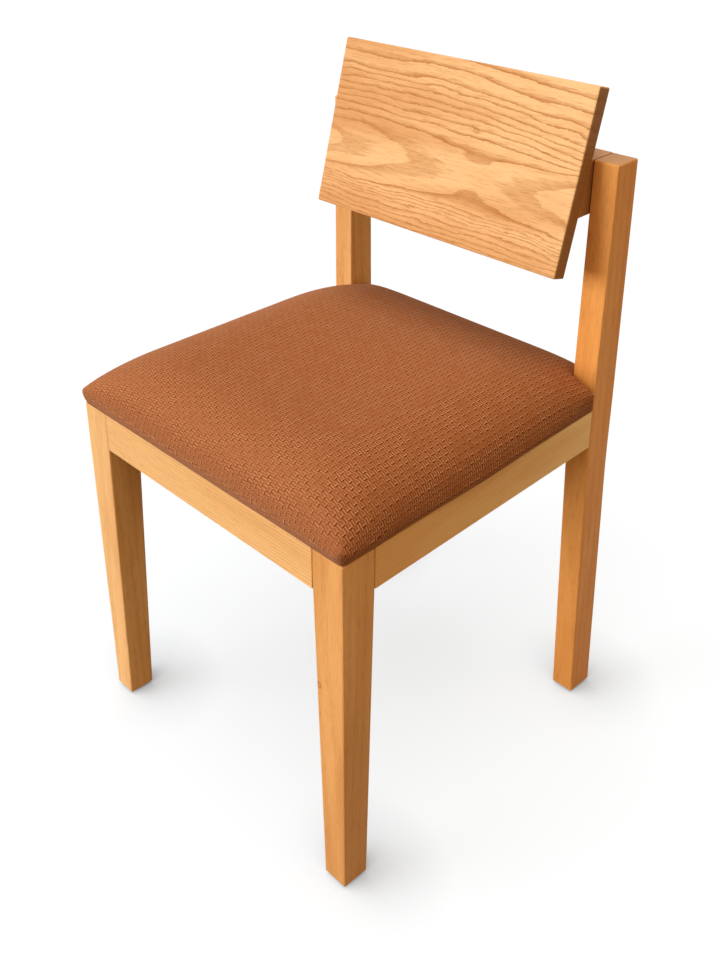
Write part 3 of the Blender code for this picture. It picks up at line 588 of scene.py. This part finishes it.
def inset(x, y, amount):
    # nearest point of the frame's outline, drawn in by an amount and kept out of the post corners
    sign = math.copysign(1.0, x)
    low, high = pad["front"] + amount, pad["rear"] - amount
    options = []
    for top, side in ((pad["notchY"] - amount, None), (high, pad["notchX"] - amount)):
        py = min(max(y, low), top)
        limit = halfWidth(py) - amount if side is None else side
        options.append((sign * min(abs(x), limit), py))
    return min(options, key=lambda p: math.hypot(p[0] - x, p[1] - y))


def flatRuns(grid):
    # how far each point lies from the middle of the pad, measured over the cloth
    flat = {vertex: [0.0, 0.0] for vertex in grid.values()}
    middle = (0, max(j for _, j in grid) // 2)
    for axis in (0, 1):
        for spot, vertex in sorted(grid.items(), key=lambda entry: abs(entry[0][axis] - middle[axis])):
            if spot[axis] == middle[axis]:
                continue
            step = 1 if spot[axis] > middle[axis] else -1
            before = grid[(spot[0] - step, spot[1]) if axis == 0 else (spot[0], spot[1] - step)]
            flat[vertex][axis] = flat[before][axis] + step * (vertex.co - before.co).length
    return flat


def wallStages(look):
    # from the widest line down to the seam, under the frame's edge, and round the seat base
    def atPost(x, y):
        return y > pad["notchY"] - pad["slack"] and abs(x) > pad["notchX"] - pad["slack"]

    def sag(x, y):
        if abs(x) <= halfWidth(y) - look["sideBand"]:
            return 0.0
        share = (y - pad["front"]) / (pad["notchY"] - pad["front"])
        return math.sin(math.pi * portion((share - look["droopFrom"]) / look["droopRun"])) ** 2

    def wall(step):
        share = 1.0 - step / look["wallSteps"]

        def spot(vertex, way):
            x, y, z = vertex.co
            height = look["seam"] + (z - look["seam"]) * share
            if atPost(x, y):
                return x, y, height
            lip = math.sin(math.pi * (1.0 - share)) * sag(x, y)
            most = bulgeAt(y, look) if abs(way.x) > look["sideFacing"] else look["bulge"]
            grow = most * (math.sin(math.pi / 2 * share) - 1.0) + look["lip"] * lip
            return x + way.x * grow, y + way.y * grow, height - look["droop"] * lip
        return spot

    def under(amount, z):
        def spot(vertex, way):
            return (*inset(vertex.co.x, vertex.co.y, amount), z)
        return spot

    seam, turned, base = look["seam"], look["turnUnder"], look["baseEdge"]
    inner = seam + look["thick"]
    stages = [wall(step) for step in range(1, look["wallSteps"] + 1)]
    stages += [under(look["seamEdge"], seam), under(turned, seam), under(turned + look["hem"], inner)]
    return stages + [under(base, inner), under(base, look["baseTop"])]


def cushionMesh(look):
    bm = bmesh.new()
    grid = notchedGrid(bm, look["bulge"], look["cell"], lambda y: padEdge(y, look))
    roundCorners(grid, look)
    for vertex in grid.values():
        vertex.co.z = padHeight(vertex.co.x, vertex.co.y, look)
    flat = flatRuns(grid)
    rim = rimOf(bm)
    outward = []
    for before, after in zip(rim[-1:] + rim[:-1], rim[1:] + rim[:1]):
        run = (after.co - before.co).to_2d().normalized()
        outward.append(Vector((run.y, -run.x)))
    ring = rim
    for stage in wallStages(look):
        made = []
        for vertex, way, source in zip(rim, outward, ring):
            fresh = bm.verts.new(stage(vertex, way))
            run = (fresh.co - source.co).length
            flat[fresh] = [flat[source][0] + way.x * run, flat[source][1] + way.y * run]
            made.append(fresh)
        joinRings(bm, ring, made)
        ring = made
    edges = [bm.edges.get((a, b)) for a, b in zip(ring, ring[1:] + ring[:1])]
    bmesh.ops.triangle_fill(bm, use_beauty=True, use_dissolve=False, edges=edges)
    bmesh.ops.recalc_face_normals(bm, faces=bm.faces)
    return bm, flat


def hiddenPoints(mesh, look):
    # the seam and everything under it or round the base
    held = []
    for vertex in mesh.vertices:
        x, y, z = vertex.co
        ix, iy = inset(x, y, look["heldEdge"])
        inside = math.hypot(ix - x, iy - y) < look["heldGap"]
        if z <= look["seam"] + look["heldRise"] or inside and z <= look["baseTop"] + pad["slack"]:
            held.append(vertex.index)
    return held


def keepClear(start, done, look):
    # nothing swells into the posts
    x, y = np.abs(start[:, 0]), start[:, 1]
    posts = (x > pad["notchX"] - look["postReach"]) & (y > pad["notchY"] - look["postReach"])
    atSide = posts & (y > pad["notchY"] + pad["slack"])
    atFront = posts & (x > pad["notchX"] + pad["slack"])
    done[atSide, 0] = np.clip(done[atSide, 0], -pad["notchX"], pad["notchX"])
    done[atFront, 1] = np.minimum(done[atFront, 1], pad["notchY"])
    corner = posts & ~atSide & ~atFront & (x > pad["notchX"] - pad["slack"])
    done[corner] = start[corner]
    return done


def puff(item, look):
    group = item.vertex_groups.new(name="held")
    group.add(hiddenPoints(item.data, look), 1.0, "REPLACE")
    cloth = item.modifiers.new("puff", "CLOTH")
    for setting, value in look["cloth"].items():
        setattr(cloth.settings, setting, value)
    cloth.settings.use_pressure = True
    cloth.settings.uniform_pressure_force = look["pressure"]
    cloth.settings.vertex_group_mass = "held"
    cloth.settings.effector_weights.gravity = 0.0
    cloth.collision_settings.use_collision = False
    cloth.point_cache.frame_end = look["frames"]
    start = np.array([vertex.co for vertex in item.data.vertices])
    scene = bpy.context.scene
    for step in range(1, look["frames"] + 1):
        scene.frame_set(step)
    graph = bpy.context.evaluated_depsgraph_get()
    end = np.array([vertex.co for vertex in item.evaluated_get(graph).data.vertices])
    move = end - start
    length = np.linalg.norm(move, axis=1, keepdims=True)
    move *= look["most"] / np.maximum(length, look["most"])
    item.modifiers.clear()
    item.vertex_groups.clear()
    scene.frame_set(1)
    item.data.vertices.foreach_set("co", keepClear(start, start + move, look).ravel())
    item.data.update()
    print("puffed: up to", round(float(np.linalg.norm(move, axis=1).max()) * 1000, 2), "mm")


def addCushion(look, finish):
    bm, flat = cushionMesh(look)
    runs = [flat[vertex] for vertex in bm.verts]
    mesh = meshFrom(bm, "seat_cushion")
    layer = mesh.attributes.new("clothRun", "FLOAT_VECTOR", "POINT")
    layer.data.foreach_set("vector", [value for x, y in runs for value in (x, y, 0.0)])
    item = addItem("seat_cushion", mesh)
    puff(item, look)
    smooth = item.modifiers.new("smooth", "SUBSURF")
    smooth.levels = smooth.render_levels = 1
    bpy.context.view_layer.update()
    settle(item)
    item.data.shade_smooth()
    paint(item, finish)
    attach(item, "root")
    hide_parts("seat_cover", "seat_foam")
    print("cushion:", len(runs), "points,", len(item.data.polygons), "faces")


weaveLook = {
    "tile": (0.00685, 0.00930),  # one column of the weave, and how far up it repeats
    "wander": 0.0030, "skew": (0.02, 0.08),
    # yarns in each tile, lit along one side, and one that stands up where a column ends
    "yarns": 3.0, "lit": ((0.08, 0.24), (0.50, 0.34)), "litHeight": 0.95,
    "shaded": ((0.46, 0.58), (0.86, 0.70)), "shadedDepth": 0.55,
    "tick": ((0.58, 0.66), (0.80, 0.72)), "tickHeight": 0.70, "tickEdge": (-0.15, 0.40),
    "slot": (0.78, 0.86), "slotDepth": 1.45,
    # rust and pale are the yarn's own colours; light is painted highlight on raised yarns; the darkest
    # tone is painted shade in the hollows and on faces turned from the key light; the last is painted
    # light and sheen
    "rust": (0.298, 0.083, 0.020), "pale": (0.430, 0.139, 0.043), "light": (0.730, 0.335, 0.150),
    "paintedShade": (0.110, 0.020, 0.002), "paintedLight": (0.550, 0.265, 0.150),
    "contrast": 1.30, "highlightShare": 0.74, "paintedShadeShare": 1.00,
    # the way a part of the cover faces, where that begins and is full, and how much it shows: painted
    # sheen on faces turned to the key light, painted shade on faces turned right, away from it, and
    # painted light on faces turned down
    "brushed": (-0.45, -0.80, 0.20), "brushedEdge": (0.05, 0.60), "keySheenShare": 0.15,
    "away": (0.75, -0.55, 0.0), "awayEdge": (0.12, 0.62), "shadeSideShare": 0.25,
    "lower": (-0.35, -0.60, -0.70), "lowerEdge": (0.20, 0.80), "litBelowShare": 0.30,
    "keySheenFlat": 0.32, "awayFlat": 0.18,  # the weave is pulled flatter over the edges
    "relief": (0.25, 0.0006),
}


def weaveFinish(look):
    finish, pen = newFinish("woven_cloth")
    run = pen.make("Attribute", {"attribute_name": "clothRun"}, {}, "Vector")
    drift = (run.noise(22.0) - 0.5) * look["wander"]
    x, y = run.along(sideways), run.along(lengthways)
    px = (x + drift + look["skew"][0] * y) / look["tile"][0]
    column = px.floor()
    py = (y + drift + look["skew"][1] * x) / look["tile"][1]
    py = py + 0.5 * (column % 2.0)  # every other column is half a tile on
    fx, fy = px % 1.0, (look["yarns"] * py) % 1.0
    patch = pen.make("TexWhiteNoise", {}, {"Vector": pen.vector(column, py.floor(), 0.0)})
    group = pen.maths("COSINE", py * (2.0 * math.pi))
    yarns = look["litHeight"] * fy.hump(*look["lit"]) - look["shadedDepth"] * fy.hump(*look["shaded"])
    tick = fx.hump(*look["tick"]) - look["slotDepth"] * fx.step(*look["slot"])
    tick = look["tickHeight"] * tick * (-1.0 * group).step(*look["tickEdge"])
    height = yarns * (0.62 + 0.30 * group) + tick - 0.03
    fuzz = run.noise(2400.0, 2.0, 0.6)
    slub = run.noise(140.0)
    facing = pen.facing()
    brushed, away, lower = (
        facing.along(look[way]).step(*look[way + "Edge"]) for way in ("brushed", "away", "lower")
    )
    flat = 1.0 - look["keySheenFlat"] * brushed - look["awayFlat"] * away
    spots = run.noise(38.0, 1.0).step(0.30, 0.62)
    strength = look["contrast"] * flat * (0.65 + 0.5 * patch) * (0.60 + 0.50 * spots)
    colour = slub.ramp((0.30, look["rust"]), (0.95, look["pale"]))
    colour = colour.blend((fuzz - 0.45).above(0.0) * 0.5, look["pale"])
    # painted sheen: paler on faces turned to the key light
    colour = colour.blend(brushed * look["keySheenShare"], look["paintedLight"])
    # painted shade: darker on faces turned to the right, away from the key light
    colour = colour.blend(away * look["shadeSideShare"], look["paintedShade"])
    # painted light: paler on faces turned down, where less light falls
    colour = colour.blend(lower * look["litBelowShare"], look["paintedLight"])
    # painted highlight where the weave stands up and painted shade in its hollows, as the key light
    # would fall on the yarns
    colour = colour.blend((height * strength * look["highlightShare"]).above(0.0), look["light"])
    colour = colour.blend((height * strength * -look["paintedShadeShare"]).above(0.0), look["paintedShade"])
    close(pen, {
        "Base Color": colour, "Roughness": 0.86 + 0.10 * fuzz, "Specular IOR Level": 0.08,
        "Sheen Weight": 0.11, "Sheen Roughness": 0.40, "Sheen Tint": (1.0, 0.72, 0.55, 1.0),
        "Normal": (flat * height + 0.14 * fuzz).bump(*look["relief"]),
    })
    return finish


addCushion(cushionLook, weaveFinish(weaveLook))


# Lining under the seat base, a thin black sheet that hangs a little between its edges.

liningLook = {
    "edge": -0.0215, "cell": 0.012, "top": 0.4347, "thick": 0.0006,
    "sag": 0.0022, "sagRun": 0.16, "wave": 0.0005, "waveRun": (62.0, 23.0),
    "dark": (0.012, 0.012, 0.013), "light": (0.045, 0.044, 0.046),
}


def liningFinish(look):
    finish, pen = newFinish("lining_cloth")
    spot = pen.spot()
    felt = spot.noise(900.0, 3.0, 0.65)
    dimple = pen.make("TexVoronoi", {}, {"Vector": spot, "Scale": 420.0})
    relief = felt + 0.5 * dimple
    close(pen, {
        "Base Color": felt.ramp((0.30, look["dark"]), (0.75, look["light"])),
        "Roughness": 0.88 + 0.1 * felt, "Specular IOR Level": 0.2, "Normal": relief.bump(0.5, 0.0003),
    })
    return finish


def addLining(look):
    bm = bmesh.new()
    grid = notchedGrid(bm, look["edge"], look["cell"], lambda y: halfWidth(y) + look["edge"])
    for vertex in grid.values():
        x, y, _ = vertex.co
        toEdges = (halfWidth(y) - abs(x), y - pad["front"], pad["rear"] - y)
        share = portion((min(toEdges) + look["edge"]) / look["sagRun"])
        wave = look["wave"] * math.sin(x * look["waveRun"][0] + y * look["waveRun"][1])
        hang = look["sag"] * (1 - (1 - share) ** 2) + wave * share
        vertex.co.z = look["top"] - hang
    area = sum(face.calc_area() for face in bm.faces)
    bmesh.ops.recalc_face_normals(bm, faces=bm.faces)
    item = addItem("under_lining", meshFrom(bm, "under_lining"))
    shell = item.modifiers.new("thickness", "SOLIDIFY")
    shell.thickness = look["thick"]
    shell.offset = 0.0
    settle(item)
    item.data.shade_smooth()
    paint(item, liningFinish(look))
    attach(item, "root")
    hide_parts("dust_cover")


addLining(liningLook)


# Hidden and small pieces

plyLook = {
    "bottom": 0.4351, "layer": 0.0017, "stretch": (30.0, 420.0, 420.0),
    "light": (0.66, 0.48, 0.28), "dark": (0.50, 0.33, 0.17),
    "cross": (0.36, 0.22, 0.11), "crossShare": 0.45,  # every other layer
}


def plyFinish(look):
    finish, pen = newFinish("plywood")
    spot = pen.spot()
    layer = ((spot.along(upright) - look["bottom"]) / look["layer"]).floor() % 2.0
    stretched = pen.make("VectorMath", {"operation": "MULTIPLY"}, {0: spot, 1: look["stretch"]})
    grain = stretched.noise(1.0, 3.0, 0.6)
    colour = grain.ramp((0.30, look["light"]), (0.70, look["dark"]))
    close(pen, {
        "Base Color": colour.blend(layer * look["crossShare"], look["cross"]),
        "Roughness": 0.62 + 0.2 * grain, "Normal": grain.bump(0.2, 0.0004),
    })
    return finish


zincLook = {"dull": (0.46, 0.46, 0.45), "bright": (0.70, 0.70, 0.69), "flakes": 900.0, "smears": 260.0}


def zincFinish(look):
    finish, pen = newFinish("zinc_steel")
    spot = pen.spot()
    flakes = pen.make("TexVoronoi", {}, {"Vector": spot, "Scale": look["flakes"]}, "Color")
    smear = spot.noise(look["smears"], 3.0, 0.6)
    close(pen, {
        "Base Color": smear.ramp((0.25, look["dull"]), (0.75, look["bright"])), "Metallic": 1.0,
        "Roughness": 0.26 + 0.16 * smear + 0.08 * flakes.along((0.34, 0.33, 0.33)),
        "Normal": smear.bump(0.15, 0.0002),
    })
    return finish


nylonLook = {"dark": (0.060, 0.048, 0.038), "scuffed": (0.150, 0.122, 0.098)}


def nylonFinish(look):
    finish, pen = newFinish("nylon")
    spot = pen.spot()
    scuff = spot.noise(420.0, 4.0, 0.65)
    close(pen, {
        "Base Color": scuff.ramp((0.30, look["dark"]), (0.80, look["scuffed"])),
        "Roughness": 0.42 + 0.28 * scuff, "Normal": spot.noise(2400.0).bump(0.25, 0.0002),
    })
    return finish


def addSmall(name, mesh, finish):
    item = addItem(name, mesh)
    paint(item, finish)
    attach(item, "root")
    return item


stapleLook = {
    "crown": 0.0100, "wire": 0.0006, "width": 0.0011, "leg": 0.0013,
    "pitch": 0.038, "fromEdge": 0.0060, "fromBlock": 0.016,
    "bend": 0.3,  # inside the corners, as a share of the wire
    "sunk": 0.00052,  # from the lining's middle line down to the crown's upper side
}


def bendStaple(bm, spot, way, look):
    half, wire, leg = look["crown"] / 2, look["wire"], look["leg"]
    bend = look["bend"] * wire
    outer = [(half, leg), (half, 0.0), (half - wire, -wire)]
    inner = [(half - wire, leg), (half - wire, bend), (half - wire - bend, 0.0)]
    outer += [(-a, h) for a, h in outer[::-1]]
    inner += [(-a, h) for a, h in inner[::-1]]
    across = Vector((-way.y, way.x, 0.0)) * look["width"] / 2
    rings = []
    for (a, h), (b, k) in zip(outer, inner):
        low, high = spot + way * a + Vector((0, 0, h)), spot + way * b + Vector((0, 0, k))
        corners = (low - across, low + across, high + across, high - across)
        rings.append([bm.verts.new(corner) for corner in corners])
    closeTube(bm, rings)


def addStaples(look, sheet, finish):
    # along the four edges of the lining, between the corner blocks
    front, rear = (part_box("corner_block_%s_right" % end) for end in ("front", "rear"))
    edge = look["fromEdge"] - sheet["edge"]
    wide = min(front[0][0], rear[0][0]) - look["fromBlock"]
    low, high = front[1][1] + look["fromBlock"], rear[0][1] - look["fromBlock"]
    spots = []
    for y in (pad["front"] + edge, pad["rear"] - edge):
        spots += [((x, y), (1, 0)) for x in spread(-wide, wide, look["pitch"])]
    for y in spread(low, high, look["pitch"]):
        spots += [((side * (halfWidth(y) - edge), y), (0, 1)) for side in (-1, 1)]
    bm = bmesh.new()
    for (x, y), way in spots:
        bendStaple(bm, Vector((x, y, sheet["top"] - look["sunk"])), Vector((*way, 0.0)), look)
    bmesh.ops.recalc_face_normals(bm, faces=bm.faces)
    addSmall("lining_staples", meshFrom(bm, "lining_staples"), finish)
    print("staples:", len(spots))


recessLook = {  # the cross in a screw's head, as shares of its diameter
    "arm": 0.30, "slot": 0.085, "depth": 0.16, "over": 0.2,
}


def crossCutter(top, axis, size, look):
    # a plus-shaped prism that reaches down into the head from just over it
    turn = axis.to_track_quat("Z", "Y")
    arm, slot = look["arm"] * size, look["slot"] * size
    quarter = [(arm, -slot), (arm, slot), (slot, slot)]
    outline = []
    for c, s in ((1, 0), (0, 1), (-1, 0), (0, -1)):
        outline += [(a * c - b * s, a * s + b * c) for a, b in quarter]
    bm = bmesh.new()
    rings = []
    for depth in (-look["depth"] * size, look["over"] * size):
        rings.append([bm.verts.new(top + turn @ Vector((a, b, depth))) for a, b in outline])
    closeTube(bm, rings)
    return addItem("cutter", meshFrom(bm, "cutter"))


def addDrivenScrew(node, look, finish):
    # the CAD screw with a cross cut into its head
    mesh = nodes[node].data.copy()
    points = np.array([vertex.co for vertex in mesh.vertices])
    middle = points.mean(axis=0)
    axis = np.linalg.svd(points - middle)[2][0]
    reach = (points - middle) @ axis
    radius = np.linalg.norm(points - middle - np.outer(reach, axis), axis=1)
    if reach[radius.argmax()] < 0:
        axis, reach = -axis, -reach
    top = Vector(middle + axis * reach.max())
    item = addSmall(node + "_driven", mesh, finish)
    cutter = crossCutter(top, Vector(axis), 2 * float(radius.max()), look)
    cut = item.modifiers.new("cross", "BOOLEAN")
    cut.operation, cut.solver, cut.object = "DIFFERENCE", "EXACT", cutter
    settle(item)
    bpy.data.objects.remove(cutter)
    paint(item, finish)
    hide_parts(node)


def finishSmall():
    zinc, nylon = zincFinish(zincLook), nylonFinish(nylonLook)
    paint(nodes["seat_base"], plyFinish(plyLook))
    for node, item in nodes.items():
        if "screw_" in node and not node.startswith("screw_plug") or node.startswith("glide_nail"):
            paint(item, zinc)
        elif node.startswith("glide_"):
            paint(item, nylon)
    addStaples(stapleLook, liningLook, zinc)
    for node in sorted(nodes):
        if node.startswith(("block_screw", "seat_screw")):
            addDrivenScrew(node, recessLook, zinc)


finishSmall()
print("small pieces painted")


# Studio

studioLook = {
    "reach": 60.0, "level": -0.0003, "floor": (0.20, 0.16, 0.11),
    "shown": (0.920, 0.957, 1.0), "white": (0.985, 1.0, 1.015), "whiteness": 1.07, "floorShare": 0.33,
    "contact": 0.10, "contactShare": 1.05, "contactShade": (0.215, 0.235, 0.26),  # close round the feet
    "contactLean": (-0.25, -0.97, 1.05),  # towards the light, so that this shade lies behind the feet
    "fill": ((1.0, 0.95, 0.90), 0.04), "backdrop": ((1.0, 1.0, 1.0), 1.0),  # colour and strength
}
sunLook = {  # degrees from straight ahead and up, strength, softness in degrees, colour
    "key": ((-32.0, 6.0), 3.58, 42.0, (1.0, 1.0, 1.0)),
    "top": ((-5.0, 75.0), 1.92, 60.0, (1.0, 1.0, 1.0)),
    "warm_side": ((80.0, 22.0), 1.25, 115.0, (1.0, 0.74, 0.38)),
    "rear_fill": ((200.0, 22.0), 0.85, 90.0, (1.0, 0.95, 0.88)),
}


def seenRay(pen):
    # 1 where a ray looks at the backdrop itself or at its reflection
    kinds = ("Is Camera Ray", "Is Glossy Ray", "Is Transmission Ray")
    straight, glossy, through = (pen.make("LightPath", {}, {}, kind) for kind in kinds)
    return straight.highest(glossy).highest(through)


def matt(pen, colour):
    return pen.make("BsdfDiffuse", {}, {"Color": (*colour, 1.0)})


def mixed(pen, share, first, second):
    return pen.make("MixShader", {}, {0: share, 1: first, 2: second})


def addFloor(look):
    bm = bmesh.new()
    corners = ((-1, -1), (1, -1), (1, 1), (-1, 1))
    reach = look["reach"]
    bm.faces.new([bm.verts.new((x * reach, y * reach, look["level"])) for x, y in corners])
    item = addItem("floor", meshFrom(bm, "floor"))
    finish, pen = newFinish("studio_floor")
    glow = pen.make("Emission", {}, {"Color": (*look["white"], 1.0), "Strength": look["whiteness"]})
    shown = mixed(pen, look["floorShare"], glow, matt(pen, look["shown"]))
    lean = pen.vector(*Vector(look["contactLean"]).normalized())
    covered = 1.0 - pen.openness(16, {"Distance": look["contact"], "Normal": lean})
    shown = mixed(pen, covered * look["contactShare"], shown, matt(pen, look["contactShade"]))
    showSurface(pen, mixed(pen, seenRay(pen), matt(pen, look["floor"]), shown))
    paint(item, finish)


def addSun(name, turn, strength, softness, colour):
    lamp = bpy.data.lights.new(name, "SUN")
    lamp.energy = strength
    lamp.angle = math.radians(softness)
    lamp.color = colour
    side, up = (math.radians(value) for value in turn)
    source = Vector((math.sin(side) * math.cos(up), -math.cos(side) * math.cos(up), math.sin(up)))
    addItem(name, lamp).rotation_euler = source.to_track_quat("Z", "Y").to_euler()


def addWorld(look):
    world = bpy.data.worlds.new("studio")
    bpy.context.scene.world = world
    world.use_nodes = True
    world.node_tree.nodes.clear()
    pen = Wire(world.node_tree)
    fill, backdrop = (
        pen.make("Background", {}, {"Color": (*colour, 1.0), "Strength": strength})
        for colour, strength in (look["fill"], look["backdrop"])
    )
    showSurface(pen, mixed(pen, seenRay(pen), fill, backdrop), "World")


cameraLook = {
    "spot": (0.82253, -0.81154, 1.09029),
    "yaw": 48.83, "pitch": -26.08, "roll": -1.68,  # degrees
    "focal": 1138.92, "centre": (290.0, 330.0), "picture": (720.0, 960.0),  # pixels
    "sensor": 36.0, "farthest": 200.0,
}


def addCamera(look):
    lens = bpy.data.cameras.new("camera")
    yaw, pitch, roll = (math.radians(look[turn]) for turn in ("yaw", "pitch", "roll"))
    ahead = Vector((-math.sin(yaw) * math.cos(pitch), math.cos(yaw) * math.cos(pitch), math.sin(pitch)))
    right = Vector((math.cos(yaw), math.sin(yaw), 0.0))
    up = right.cross(ahead)
    level = math.cos(roll) * right + math.sin(roll) * up
    tall = math.cos(roll) * up - math.sin(roll) * right
    item = addItem("camera", lens)
    turned = Matrix((level, tall, -ahead)).transposed().to_4x4()
    item.matrix_world = Matrix.Translation(look["spot"]) @ turned
    wide, high = look["picture"]
    lens.sensor_width = look["sensor"]
    lens.lens = look["focal"] * look["sensor"] / high
    lens.shift_x = (wide / 2 - look["centre"][0]) / high
    lens.shift_y = (look["centre"][1] - high / 2) / high
    lens.clip_end = look["farthest"]
    bpy.context.scene.camera = item


addFloor(studioLook)
addWorld(studioLook)
for name, look in sunLook.items():
    addSun(name, *look)
addCamera(cameraLook)
bpy.context.scene.view_settings.view_transform = "Standard"
print("studio set")
